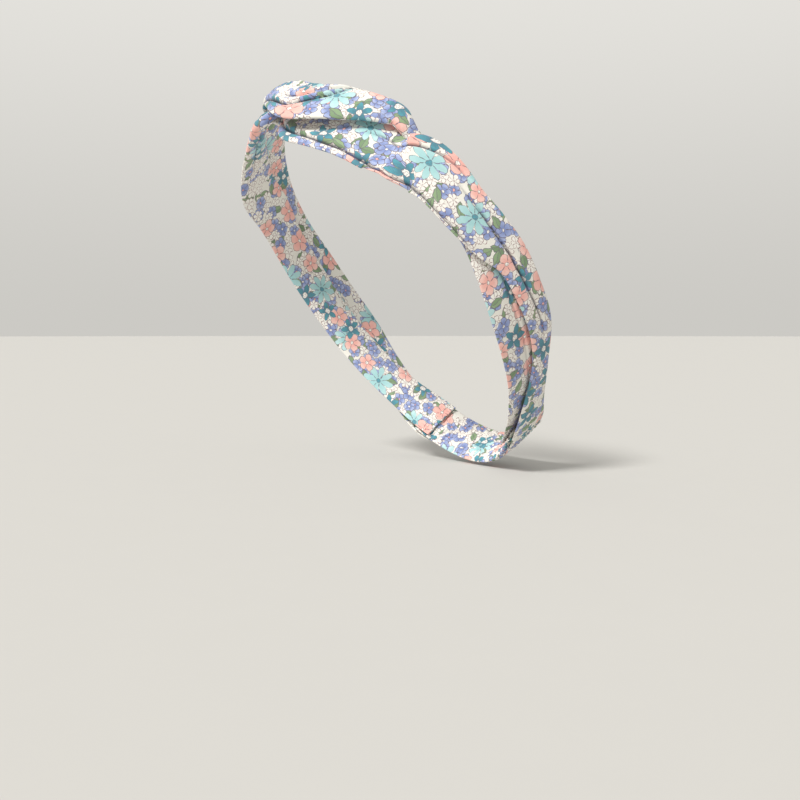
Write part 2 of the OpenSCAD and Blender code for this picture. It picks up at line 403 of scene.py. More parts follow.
def build_mesh(name, points, faces, uvs, shade):
    """A mesh object in metres, in the part's frame, with its faces outwards."""
    mesh = bpy.data.meshes.new(name)
    mesh.from_pydata(points.tolist(), [], faces)
    # The crease attribute holds each point's painted shade, how deep it lies in a fold or ripple
    mesh.attributes.new("crease", "FLOAT", "POINT").data.foreach_set("value", shade.astype(np.float32))
    layer = mesh.uv_layers.new(name="cloth")
    layer.data.foreach_set("uv", np.asarray(uvs, np.float32).ravel())
    mesh.polygons.foreach_set("use_smooth", [True] * len(mesh.polygons))
    shell = bmesh.new()
    shell.from_mesh(mesh)
    bmesh.ops.recalc_face_normals(shell, faces=shell.faces)
    shell.to_mesh(mesh)
    shell.free()
    piece = bpy.data.objects.new(name, mesh)
    bpy.context.collection.objects.link(piece)
    return piece


class Tube:
    """A flattened tube round a spine. lift(x, face) moves its skin outwards; wall is its cloth's
    thickness, or 0 for a solid strip; start is how far along the printed cloth its first end lies.
    Its shade is how deep in a fold each point lies, from 0 to 1; the cloth is darkened by it as painted
    shade."""

    def __init__(self, spine, count, lift, wall, start=0.0):
        self.spine = spine
        self.count = count
        self.wall = wall
        ux, uy, face = tube_profile(count)
        x = ux[None, :] * spine.width[:, None] / 2
        room = np.clip((1 - np.abs(ux)) / 0.1, 0, 1)[None, :]
        raised = lift(x, face)
        # Painted shade: how deep each point sinks into a fold, ripple or gather, from 0 to 1
        self.shade = np.clip(-raised / CREASE_DEEP, 0, 1) * room
        y = uy[None, :] * spine.thick[:, None] / 2 + raised * face[None, :] * room
        wide = spine.wide[:, None, :]
        self.skin = spine.path[:, None, :] + wide * x[..., None] + spine.face[:, None, :] * y[..., None]
        steps = np.linalg.norm(np.roll(self.skin, -1, axis=1) - self.skin, axis=2)
        far = np.concatenate([np.zeros((len(x), 1)), np.cumsum(steps, axis=1)], axis=1)
        self.v = (far - far[:, count // 2 : count // 2 + 1]) * MM
        self.u = (spine.length + start) * MM

    def inner_skin(self):
        """Every second point of the outer skin, moved in by the cloth's thickness."""
        round_it = np.roll(self.skin, -1, axis=1) - np.roll(self.skin, 1, axis=1)
        out = unit(np.cross(round_it, self.spine.ahead[:, None, :]))
        middle = self.skin.mean(axis=1, keepdims=True)
        if np.sum(out * (self.skin - middle)) < 0:
            out = -out
        return (self.skin - out * self.wall)[::2, ::2]

    def quads(self, first, rings, count, step):
        """Faces of one skin, with the place on the printed cloth of each corner."""
        faces, uvs = [], []
        for i in range(rings - 1):
            for k in range(count):
                corners = ((i, k), (i, k + 1), (i + 1, k + 1), (i + 1, k))
                faces.append([first + a * count + b % count for a, b in corners])
                uvs.extend((self.u[a * step], self.v[a * step, b * step]) for a, b in corners)
        return faces, uvs

    def rim(self, first_inner, ring, inner_ring):
        """Faces that join the two skins at one end."""
        faces, uvs = [], []
        outer = ring * self.count
        inner_count = self.count // 2
        inner = first_inner + inner_ring * inner_count
        for k in range(inner_count):
            faces.append(
                [inner + k, inner + (k + 1) % inner_count, outer + (2 * k + 2) % self.count,
                 outer + 2 * k + 1, outer + 2 * k]
            )
            v = self.v[ring]
            uvs.extend((self.u[ring], v[j]) for j in (2 * k, 2 * k + 2, 2 * k + 2, 2 * k + 1, 2 * k))
        return faces, uvs

    def cap(self, ring):
        start = ring * self.count
        return [list(range(start, start + self.count))], [(self.u[ring], v) for v in self.v[ring, :-1]]

    def piece(self, name):
        rings = len(self.skin)
        points = self.skin.reshape(-1, 3)
        shade = self.shade.ravel()
        parts = [self.quads(0, rings, self.count, 1)]
        if self.wall:
            inner = self.inner_skin()
            first = len(points)
            points = np.concatenate([points, inner.reshape(-1, 3)])
            shade = np.concatenate([shade, self.shade[::2, ::2].ravel()])
            parts.append(self.quads(first, len(inner), self.count // 2, 2))
            parts.append(self.rim(first, 0, 0))
            parts.append(self.rim(first, rings - 1, len(inner) - 1))
        else:
            parts.append(self.cap(0))
            parts.append(self.cap(rings - 1))
        faces = [f for part in parts for f in part[0]]
        uvs = [uv for part in parts for uv in part[1]]
        return build_mesh(name, tilted(points), faces, uvs, shade)

    def rear_edge(self):
        """Points along the sewn edge, and the way the thread runs there."""
        edge = self.skin[:, 0]
        return edge, unit(np.gradient(edge, axis=0))


def row_of(stations, first, last, angle):
    """The station row at which a leg, rows first to last, stands at an angle."""
    angles = np.array([s[0] for s in stations[first : last + 1]], float)
    rows = np.arange(first, last + 1)
    order = np.argsort(angles)
    return float(np.interp(angle, angles[order], rows[order]))


def left_folds():
    """Creases of the left loop: over the knot, along the wide leg, and down to the nape."""
    turn = len(LEFT_UNDER) + len(LEFT_TOP) + 3
    end = len(LEFT_STATIONS) - 1

    def top(angle):
        return row_of(LEFT_STATIONS, 0, turn, angle)

    def wide(angle):
        return row_of(LEFT_STATIONS, turn + 3, end, angle)

    over_knot = [
        (top(26), 7.6, 0, 0), (top(23), 5.0, 1.7, 0.9), (top(21), 2.2, 2.1, 1.2),
        (top(17), -0.4, 2.2, 1.3), (top(14.5), -2.4, 2.2, 1.3), (top(11.5), -5.6, 2.1, 1.2),
        (top(6), -6.2, 2.0, 0.9), (turn, -5.6, 1.5, 0.5), (wide(1), -5, 0.6, 0),
    ]
    tucked_fold = [
        (top(32), 8.6, 0, 0), (top(27), 9.2, 1.0, 0.5), (top(21), 6.4, 1.5, 0.7),
        (top(15), 2.4, 1.4, 0.6), (top(10), -0.4, 1.1, 0.5), (top(5), -1.5, 0.4, 0.2),
        (turn, -1.5, 0, 0),
    ]
    long_crease = [
        (wide(2), -6.0, 0.9, 0.3), (wide(13.6), -9.7, 1.4, 0.8), (wide(24), -9.6, 1.5, 0.9),
        (wide(31), -9.2, 1.4, 0.8), (wide(36), -10.4, 1.4, 0.8), (wide(44.7), -9.8, 1.4, 0.8),
        (wide(49), -11.2, 1.3, 0.7), (wide(55), -12.2, 1.2, 0.6), (wide(61), -12.0, 1.3, 0.7),
        (wide(67), -11.1, 1.4, 0.8), (wide(72), -11.2, 1.0, 0.5), (wide(77), -11.0, 0, 0),
    ]
    second_crease = [
        (wide(56), 3.5, 0, 0), (wide(62), 4.8, 0.8, 0.4), (wide(70), 4.0, 1.3, 0.8),
        (wide(75), 2.6, 1.5, 0.9), (wide(80), 0.5, 1.5, 0.9), (wide(86), -0.9, 1.4, 0.8),
        (wide(93), -0.4, 1.2, 0.6), (wide(104), 0.6, 0.9, 0.4), (wide(114), 1.4, 0, 0),
    ]
    under_crease = [
        (top(146), 3, 0.5, 0.2), (top(112), 4, 0.5, 0.3), (top(84), 4, 0.5, 0.3),
        (top(60), 1, 0.6, 0.3),
    ]
    crossing_gather = [
        (wide(31), 2.5, 0, 0), (wide(38), 5.0, 1.1, 0.5), (wide(44), 5.4, 1.4, 0.7),
        (wide(50), 7.6, 1.3, 0.7), (wide(57), 9.5, 1.0, 0.4), (wide(66), 10.2, 0, 0),
    ]
    return [
        Fold(-1, over_knot),
        Fold(-1, tucked_fold),
        Fold(1, long_crease),
        Fold(1, second_crease),
        Fold(1, crossing_gather, roll_side=-1),
        Fold(-1, under_crease),
    ]


def right_folds():
    """Creases of the right loop, out of the knot and down the far side."""
    bend = len(RIGHT_REAR)
    end = len(RIGHT_STATIONS) - 1

    def rear(angle):
        return row_of(RIGHT_STATIONS, 0, bend, -angle)

    def front(angle):
        return row_of(RIGHT_STATIONS, bend, end, -angle)

    front_crease = [
        (front(1), 0.6, 0.8, 0.3), (front(8), 1.0, 1.5, 0.7), (front(20), 2.0, 1.2, 0.6),
        (front(40), 3.5, 0.8, 0.4), (front(70), 4, 0, 0),
    ]
    rear_crease = [
        (rear(86), -2, 0, 0), (rear(55), -2.4, 0.9, 0.5), (rear(30), -1.6, 1.3, 0.7),
        (rear(10), -0.8, 1.6, 0.6), (rear(2), 0, 0.8, 0.2),
    ]
    rear_second = [
        (rear(60), 5.5, 0, 0), (rear(38), 4.8, 0.9, 0.4), (rear(18), 3.4, 1.1, 0.5),
        (rear(6), 2, 0.4, 0.1),
    ]
    inside_crease = [(front(3), 0, 0.8, 0.2), (front(14), -1, 1.2, 0.3), (front(45), -2, 0, 0)]
    return [
        Fold(-1, front_crease),
        Fold(-1, rear_crease, roll_side=-1),
        Fold(-1, rear_second),
        Fold(1, inside_crease),
    ]


# ---------------------------------------------------------------- sewing


def stitch_tree():
    """Geometry nodes that lay one thread stitch on every point, along the point's heading."""
    tree = bpy.data.node_groups.new("laid stitches", "GeometryNodeTree")
    sockets = {}
    for label, kind in (
        ("Geometry", "Geometry"), ("Stitch length", "Float"), ("Thread radius", "Float"),
        ("Thread", "Material"),
    ):
        made = tree.interface.new_socket(name=label, in_out="INPUT", socket_type="NodeSocket" + kind)
        sockets[label] = made.identifier
    tree.interface.new_socket(name="Geometry", in_out="OUTPUT", socket_type="NodeSocketGeometry")
    link = tree.links.new
    given = tree.nodes.new("NodeGroupInput").outputs
    result = tree.nodes.new("NodeGroupOutput")
    grain = tree.nodes.new("GeometryNodeMeshUVSphere")
    grain.inputs["Segments"].default_value = 8
    grain.inputs["Rings"].default_value = 6
    grain.inputs["Radius"].default_value = 1.0
    half = tree.nodes.new("ShaderNodeMath")
    half.operation = "MULTIPLY"
    half.inputs[1].default_value = 0.5
    size = tree.nodes.new("ShaderNodeCombineXYZ")
    heading = tree.nodes.new("GeometryNodeInputNamedAttribute")
    heading.data_type = "FLOAT_VECTOR"
    heading.inputs["Name"].default_value = "heading"
    turn = tree.nodes.new("FunctionNodeAlignRotationToVector")
    turn.axis = "X"
    lay = tree.nodes.new("GeometryNodeInstanceOnPoints")
    real = tree.nodes.new("GeometryNodeRealizeInstances")
    smooth = tree.nodes.new("GeometryNodeSetShadeSmooth")
    finish = tree.nodes.new("GeometryNodeSetMaterial")
    link(given["Stitch length"], half.inputs[0])
    link(half.outputs[0], size.inputs[0])
    link(given["Thread radius"], size.inputs[1])
    link(given["Thread radius"], size.inputs[2])
    link(heading.outputs["Attribute"], turn.inputs["Vector"])
    link(given["Geometry"], lay.inputs["Points"])
    link(grain.outputs["Mesh"], lay.inputs["Instance"])
    link(turn.outputs[0], lay.inputs["Rotation"])
    link(size.outputs[0], lay.inputs["Scale"])
    link(lay.outputs[0], smooth.inputs[0])
    link(smooth.outputs[0], real.inputs[0])
    link(real.outputs[0], finish.inputs[0])
    link(given["Thread"], finish.inputs["Material"])
    link(finish.outputs[0], result.inputs[0])
    return tree, sockets


class Sewing:
    """Lays rows of stitches, each row as one plain mesh."""

    def __init__(self, thread):
        self.thread = thread
        self.tree, self.sockets = stitch_tree()

    def row(self, name, points, headings, length):
        mesh = bpy.data.meshes.new(name + " points")
        mesh.from_pydata(tilted(points).tolist(), [], [])
        attribute = mesh.attributes.new("heading", "FLOAT_VECTOR", "POINT")
        attribute.data.foreach_set("vector", tilted(headings).astype(np.float32).ravel())
        maker = bpy.data.objects.new(name + " points", mesh)
        bpy.context.collection.objects.link(maker)
        modifier = maker.modifiers.new("stitches", "NODES")
        modifier.node_group = self.tree
        modifier[self.sockets["Stitch length"]] = length * MM
        modifier[self.sockets["Thread radius"]] = THREAD_R * MM
        modifier[self.sockets["Thread"]] = self.thread
        graph = bpy.context.evaluated_depsgraph_get()
        plain = bpy.data.meshes.new_from_object(maker.evaluated_get(graph))
        maker.modifiers.clear()
        bpy.data.objects.remove(maker)
        bpy.data.meshes.remove(mesh)
        plain.name = name
        piece = bpy.data.objects.new(name, plain)
        bpy.context.collection.objects.link(piece)
        return piece

    def along_edge(self, name, tube, skip):
        """Stitches at an even pitch along a tube's sewn edge, a skip of millimetres from its ends."""
        edge, ahead = tube.rear_edge()
        inward = -tube.spine.wide
        far = tube.spine.length
        places = np.arange(skip, far[-1] - skip, STITCH_L + STITCH_GAP)
        at = np.stack([np.interp(places, far, (edge + inward * SEAM_SINK)[:, i]) for i in range(3)], -1)
        run = unit(np.stack([np.interp(places, far, ahead[:, i]) for i in range(3)], -1))
        return self.row(name, at, run, STITCH_L)

    def across_band(self, name, angle, offsets, outs):
        """Short stitches that lie across the band, a row of them at each distance out."""
        a = np.array([float(angle)])
        out, rear = (axis[0] for axis in cloth_axes(a)[1:])
        base = skull(a)[0]
        at = [base + out * o + rear * (x + NAPE_DIP) for o in outs for x in offsets]
        return self.row(name, np.array(at), np.array([rear] * len(at)), STITCH_L)


# ---------------------------------------------------------------- materials

INK = (0.085, 0.055, 0.11, 1)
BROWN_INK = (0.27, 0.12, 0.13, 1)
GROUND = (0.87, 0.85, 0.78, 1)
WHITE = (0.93, 0.91, 0.85, 1)
PERIWINKLE = (0.40, 0.48, 0.76, 1)
DEEP_PERIWINKLE = (0.16, 0.235, 0.54, 1)
CORAL = (0.92, 0.43, 0.37, 1)
PALE_CORAL = (0.96, 0.60, 0.53, 1)
TEAL = (0.004, 0.17, 0.25, 1)
LIGHT_TEAL = (0.015, 0.30, 0.39, 1)
AQUA = (0.33, 0.64, 0.66, 1)
PALE_AQUA = (0.50, 0.76, 0.77, 1)
LEAF = (0.13, 0.25, 0.10, 1)
PALE_LEAF = (0.24, 0.38, 0.18, 1)
# Painted shade: the tone that cloth deep in a fold is darkened to
PAINTED_CREASE_SHADE = (0.035, 0.03, 0.055, 1)
WORN_COTTON = (0.80, 0.79, 0.76, 1)
# Painted shade in the hollows of the elastic's knit, and the elastic's white
ELASTIC_PAINTED_SHADE = (0.62, 0.60, 0.55, 1)
ELASTIC_WHITE = (0.86, 0.85, 0.8, 1)
# The thread's darker tone, painted shade in the twist's grooves and random fuzz, and its cream
THREAD_PAINTED_SHADE = (0.66, 0.62, 0.52, 1)
THREAD_CREAM = (0.88, 0.85, 0.76, 1)
PAPER = (0.62, 0.61, 0.585, 1)
PAPER_GRAIN = (0.66, 0.65, 0.62, 1)
YARN = 0.00028
TWIST = 0.00028
KNIT_LOOP = 0.0007


class Net:
    """A node tree with short calls for adding nodes. A value is a number, a colour or a socket."""

    def __init__(self, tree):
        self.tree = tree

    def put(self, socket, value):
        if isinstance(value, bpy.types.NodeSocket):
            self.tree.links.new(value, socket)
        elif value is not None:
            socket.default_value = value

    def node(self, kind, **values):
        made = self.tree.nodes.new(kind)
        for name, value in values.items():
            setattr(made, name, value)
        return made

    def math(self, operation, *values, clamp=False):
        made = self.node("ShaderNodeMath", operation=operation, use_clamp=clamp)
        for socket, value in zip(made.inputs, values):
            self.put(socket, value)
        return made.outputs[0]

    def vector(self, operation, *values):
        made = self.node("ShaderNodeVectorMath", operation=operation)
        for socket, value in zip(made.inputs, values):
            self.put(socket, value)
        return made.outputs["Value" if operation in ("LENGTH", "DISTANCE", "DOT_PRODUCT") else "Vector"]

    def scaled(self, vector, factor):
        made = self.node("ShaderNodeVectorMath", operation="SCALE")
        self.put(made.inputs[0], vector)
        self.put(made.inputs["Scale"], factor)
        return made.outputs["Vector"]

    def parts(self, vector):
        made = self.node("ShaderNodeSeparateXYZ")
        self.put(made.inputs[0], vector)
        return made.outputs[0], made.outputs[1], made.outputs[2]

    def joined(self, x, y, z=0.0):
        made = self.node("ShaderNodeCombineXYZ")
        for socket, value in zip(made.inputs, (x, y, z)):
            self.put(socket, value)
        return made.outputs[0]

    def turned(self, vector, angle):
        made = self.node("ShaderNodeVectorRotate", rotation_type="Z_AXIS")
        self.put(made.inputs["Vector"], vector)
        self.put(made.inputs["Angle"], angle)
        return made.outputs[0]

    def mix(self, factor, a, b):
        made = self.node("ShaderNodeMix", data_type="RGBA")
        self.put(made.inputs["Factor"], factor)
        self.put(made.inputs["A"], a)
        self.put(made.inputs["B"], b)
        return made.outputs["Result"]

    def rise(self, value, low, high):
        """0 below low, 1 above high, smooth between them."""
        made = self.node("ShaderNodeMapRange", interpolation_type="SMOOTHSTEP")
        for socket, number in zip(made.inputs, (value, low, high)):
            self.put(socket, number)
        return made.outputs[0]

    def noise(self, vector, scale, detail=2.0):
        made = self.node("ShaderNodeTexNoise")
        self.put(made.inputs["Vector"], vector)
        self.put(made.inputs["Scale"], scale)
        self.put(made.inputs["Detail"], detail)
        return made.outputs

    def group(self, group, **values):
        made = self.node("ShaderNodeGroup", node_tree=group)
        for name, value in values.items():
            self.put(made.inputs[name.replace("_", " ")], value)
        return made.outputs


def new_group(name, inputs, outputs):
    """An empty node group with its sockets, and its input and output nodes."""
    tree = bpy.data.node_groups.new(name, "ShaderNodeTree")
    for side, sockets in (("INPUT", inputs), ("OUTPUT", outputs)):
        for label, kind in sockets:
            tree.interface.new_socket(name=label, in_out=side, socket_type="NodeSocket" + kind)
    given = tree.nodes.new("NodeGroupInput").outputs
    results = tree.nodes.new("NodeGroupOutput").inputs
    return Net(tree), given, results


def scatter_group():
    """One printed motif for each cell of a turned grid: its place, a random number, and whether it is
    there."""
    net, given, results = new_group(
        "scattered motif",
        [("Cloth", "Vector"), ("Cell", "Float"), ("Room", "Float"), ("Turn", "Float"), ("Seed", "Float"),
         ("Share", "Float"), ("Patch", "Float")],
        [("Place", "Vector"), ("Pick", "Float"), ("Present", "Float")],
    )
    turned = net.turned(given["Cloth"], given["Turn"])
    cells = net.scaled(turned, net.math("DIVIDE", 1.0, given["Cell"]))
    grid = net.vector("ADD", cells, net.joined(given["Seed"], 7.3))
    x, y, _ = net.parts(grid)
    cell = net.joined(net.math("FLOOR", x), net.math("FLOOR", y), given["Seed"])
    white = net.node("ShaderNodeTexWhiteNoise", noise_dimensions="3D")
    net.put(white.inputs["Vector"], cell)
    r1, r2, r3 = net.parts(white.outputs["Color"])
    dx = net.math("SUBTRACT", net.math("FRACT", x), 0.5)
    dy = net.math("SUBTRACT", net.math("FRACT", y), 0.5)
    dx = net.math("SUBTRACT", dx, net.math("MULTIPLY", net.math("SUBTRACT", r1, 0.5), given["Room"]))
    dy = net.math("SUBTRACT", dy, net.math("MULTIPLY", net.math("SUBTRACT", r2, 0.5), given["Room"]))
    place = net.scaled(net.joined(dx, dy), given["Cell"])
    place = net.turned(place, net.math("MULTIPLY", r3, math.tau))
    patches = net.noise(cell, 0.31, 0.0)["Fac"]
    chance = net.math("MULTIPLY_ADD", net.math("SUBTRACT", patches, 0.5), given["Patch"], given["Share"])
    net.put(results["Place"], place)
    net.put(results["Pick"], net.math("FRACT", net.math("MULTIPLY", white.outputs["Value"], 17.0)))
    net.put(results["Present"], net.math("LESS_THAN", white.outputs["Value"], chance))
    return net.tree


def blossom_group(scatter):
    """A printed flower laid over the colour under it."""
    net, given, results = new_group(
        "printed blossom",
        [("Cloth", "Vector"), ("Under", "Color"), ("Cell", "Float"), ("Room", "Float"), ("Turn", "Float"),
         ("Seed", "Float"), ("Share", "Float"), ("Patch", "Float"), ("Radius", "Float"), ("Petals", "Float"),
         ("Notch", "Float"), ("Point", "Float"), ("Tip", "Float"), ("Heart", "Float"), ("Petal", "Color"),
         ("Shade", "Color"), ("Middle", "Color"), ("Line", "Color"), ("Line width", "Float")],
        [("Color", "Color")],
    )
    line_width = given["Line width"]
    spot = net.group(
        scatter, Cloth=given["Cloth"], Cell=given["Cell"], Room=given["Room"], Turn=given["Turn"],
        Seed=given["Seed"], Share=given["Share"], Patch=given["Patch"],
    )
    x, y, _ = net.parts(spot["Place"])
    reach = net.vector("LENGTH", spot["Place"])
    half_turn = net.math("MULTIPLY", net.math("ARCTAN2", y, x), net.math("MULTIPLY", given["Petals"], 0.5))
    lobe = net.math("ABSOLUTE", net.math("COSINE", half_turn))
    sharp = net.math("SUBTRACT", 1.0, net.math("MULTIPLY", net.math("ARCCOSINE", lobe), 2.0 / math.pi))
    shape = net.math("MULTIPLY_ADD", given["Tip"], net.math("SUBTRACT", sharp, lobe), lobe)
    full = net.math("POWER", shape, given["Point"])
    size = net.math("MULTIPLY", given["Radius"], net.math("MULTIPLY_ADD", spot["Pick"], 0.2, 0.8))
    notch = net.math("MULTIPLY", given["Notch"], net.math("SUBTRACT", 1.0, full))
    edge = net.math("MULTIPLY", size, net.math("SUBTRACT", 1.0, notch))
    inside = net.math("SUBTRACT", edge, reach)
    soft = net.math("MULTIPLY", line_width, 0.5)
    fill = net.rise(inside, 0.0, soft)
    rim = net.math("SUBTRACT", 1.0, net.rise(inside, line_width, net.math("MULTIPLY", line_width, 1.6)))
    gap = net.math("DIVIDE", net.math("MULTIPLY", net.math("MULTIPLY", lobe, reach), 2.0), given["Petals"])
    between = net.math("SUBTRACT", 1.0, net.rise(gap, net.math("MULTIPLY", line_width, 0.35), line_width))
    start = net.math("MULTIPLY_ADD", line_width, 5.0, given["Heart"])
    between = net.math("MULTIPLY", between, net.rise(reach, given["Heart"], start))
    depth = net.rise(net.math("DIVIDE", reach, size), 0.25, 0.9)
    wash = net.noise(given["Cloth"], 900.0, 2.0)["Fac"]
    tone = net.math("MULTIPLY_ADD", net.math("SUBTRACT", wash, 0.5), 1.4, depth, clamp=True)
    petal = net.mix(tone, given["Shade"], given["Petal"])
    light = net.math("GREATER_THAN", spot["Pick"], 0.62)
    petal = net.mix(net.math("MULTIPLY", light, 0.45), petal, given["Shade"])
    drawn = net.mix(net.math("MAXIMUM", rim, between), petal, given["Line"])
    heart_in = net.math("SUBTRACT", given["Heart"], reach)
    drawn = net.mix(net.rise(heart_in, net.math("MULTIPLY", line_width, -1.0), 0.0), drawn, given["Line"])
    drawn = net.mix(net.rise(heart_in, 0.0, soft), drawn, given["Middle"])
    seeds = net.node("ShaderNodeTexVoronoi", voronoi_dimensions="2D")
    net.put(seeds.inputs["Vector"], spot["Place"])
    net.put(seeds.inputs["Scale"], 1400.0)
    dots = net.math("LESS_THAN", seeds.outputs["Distance"], 0.28)
    dotted = net.math("MULTIPLY", dots, net.rise(heart_in, 0.0, soft))
    drawn = net.mix(net.math("MULTIPLY", dotted, 0.7), drawn, given["Line"])
    net.put(results["Color"], net.mix(net.math("MULTIPLY", fill, spot["Present"]), given["Under"], drawn))
    return net.tree


def leaf_group(scatter):
    """A printed leaf with a midrib laid over the colour under it."""
    net, given, results = new_group(
        "printed leaf",
        [("Cloth", "Vector"), ("Under", "Color"), ("Cell", "Float"), ("Room", "Float"), ("Turn", "Float"),
         ("Seed", "Float"), ("Share", "Float"), ("Length", "Float"), ("Width", "Float"), ("Leaf", "Color"),
         ("Shade", "Color"), ("Line", "Color"), ("Line width", "Float")],
        [("Color", "Color")],
    )
    line_width = given["Line width"]
    spot = net.group(
        scatter, Cloth=given["Cloth"], Cell=given["Cell"], Room=given["Room"], Turn=given["Turn"],
        Seed=given["Seed"], Share=given["Share"], Patch=0.0,
    )
    x, y, _ = net.parts(spot["Place"])
    along = net.math("DIVIDE", x, net.math("MULTIPLY", given["Length"], 0.5))
    bow = net.math("SUBTRACT", 1.0, net.math("MULTIPLY", along, along))
    half = net.math("MULTIPLY", bow, net.math("MULTIPLY", given["Width"], 0.5))
    inside = net.math("SUBTRACT", half, net.math("ABSOLUTE", y))
    fill = net.rise(inside, 0.0, net.math("MULTIPLY", line_width, 0.5))
    rim = net.math("SUBTRACT", 1.0, net.rise(inside, line_width, net.math("MULTIPLY", line_width, 1.6)))
    rib = net.math("SUBTRACT", 1.0, net.rise(net.math("ABSOLUTE", y), 0.0, line_width))
    tone = net.math("MULTIPLY_ADD", net.math("SIGN", y), 0.25, spot["Pick"], clamp=True)
    drawn = net.mix(tone, given["Leaf"], given["Shade"])
    drawn = net.mix(net.math("MAXIMUM", rim, net.math("MULTIPLY", rib, 0.7)), drawn, given["Line"])
    net.put(results["Color"], net.mix(net.math("MULTIPLY", fill, spot["Present"]), given["Under"], drawn))
    return net.tree


# Cell, Radius, Heart and Line_width are in metres. Share is the part of the cells with a flower in
# it, and Patch how far that changes from place to place. Notch, Point and Tip shape the petals.
SMALL_BLOSSOMS = [
    dict(Cell=0.0062, Room=0.25, Turn=0.5, Seed=11.0, Share=0.75, Patch=1.6, Radius=0.0035, Petals=5.0,
         Notch=0.52, Point=0.42, Heart=0.00045, Petal=WHITE, Shade=WHITE, Middle=WHITE, Line=BROWN_INK,
         Line_width=0.00024),
    dict(Cell=0.0086, Room=0.22, Turn=1.1, Seed=23.0, Share=0.62, Patch=0.9, Radius=0.0043, Petals=5.0,
         Notch=0.30, Point=0.55, Heart=0.0006, Petal=PERIWINKLE, Shade=DEEP_PERIWINKLE, Middle=CORAL,
         Line=INK, Line_width=0.00028),
    dict(Cell=0.0091, Room=0.25, Turn=2.3, Seed=37.0, Share=0.50, Patch=0.9, Radius=0.0044, Petals=5.0,
         Notch=0.34, Point=0.5, Heart=0.0007, Petal=PERIWINKLE, Shade=DEEP_PERIWINKLE, Middle=WHITE,
         Line=INK, Line_width=0.00028),
    dict(Cell=0.0066, Room=0.25, Turn=0.2, Seed=41.0, Share=0.36, Patch=1.8, Radius=0.0035, Petals=6.0,
         Notch=0.58, Point=0.42, Heart=0.00045, Petal=WHITE, Shade=WHITE, Middle=WHITE, Line=BROWN_INK,
         Line_width=0.00024),
]
LARGE_BLOSSOMS = [
    dict(Cell=0.0225, Room=0.22, Turn=0.9, Seed=53.0, Share=0.34, Patch=0.6, Radius=0.0093, Petals=8.0,
         Notch=0.72, Point=0.6, Heart=0.0013, Petal=PALE_AQUA, Shade=AQUA, Middle=LIGHT_TEAL, Line=INK,
         Line_width=0.00028),
    dict(Cell=0.0165, Room=0.25, Turn=1.7, Seed=67.0, Share=0.50, Patch=0.6, Radius=0.0066, Petals=5.0,
         Notch=0.48, Point=0.45, Heart=0.0009, Petal=PALE_CORAL, Shade=CORAL, Middle=WHITE,
         Line=BROWN_INK, Line_width=0.0003),
    dict(Cell=0.0175, Room=0.25, Turn=2.7, Seed=79.0, Share=0.46, Patch=0.6, Radius=0.0071, Petals=5.0,
         Notch=0.68, Point=0.8, Tip=0.85, Heart=0.0015, Petal=LIGHT_TEAL, Shade=TEAL, Middle=WHITE,
         Line=INK, Line_width=0.00028),
]


def weave_height(net, cloth):
    """Height of a plain weave: warp and weft yarns that pass over each other by turns."""
    u, v, _ = net.parts(net.scaled(cloth, 1.0 / YARN))
    over_u = net.math("ABSOLUTE", net.math("SINE", net.math("MULTIPLY", u, math.pi)))
    over_v = net.math("ABSOLUTE", net.math("SINE", net.math("MULTIPLY", v, math.pi)))
    turn = net.math("MODULO", net.math("ADD", net.math("FLOOR", u), net.math("FLOOR", v)), 2.0)
    turn = net.math("ABSOLUTE", turn)
    return net.math(
        "ADD",
        net.math("MULTIPLY", over_u, turn),
        net.math("MULTIPLY", over_v, net.math("SUBTRACT", 1.0, turn)),
    )


def new_material(name):
    material = bpy.data.materials.new(name)
    material.use_nodes = True
    shader = material.node_tree.nodes["Principled BSDF"]
    return material, Net(material.node_tree), shader


def cloth_place(net):
    return net.node("ShaderNodeUVMap", uv_map="cloth").outputs[0]


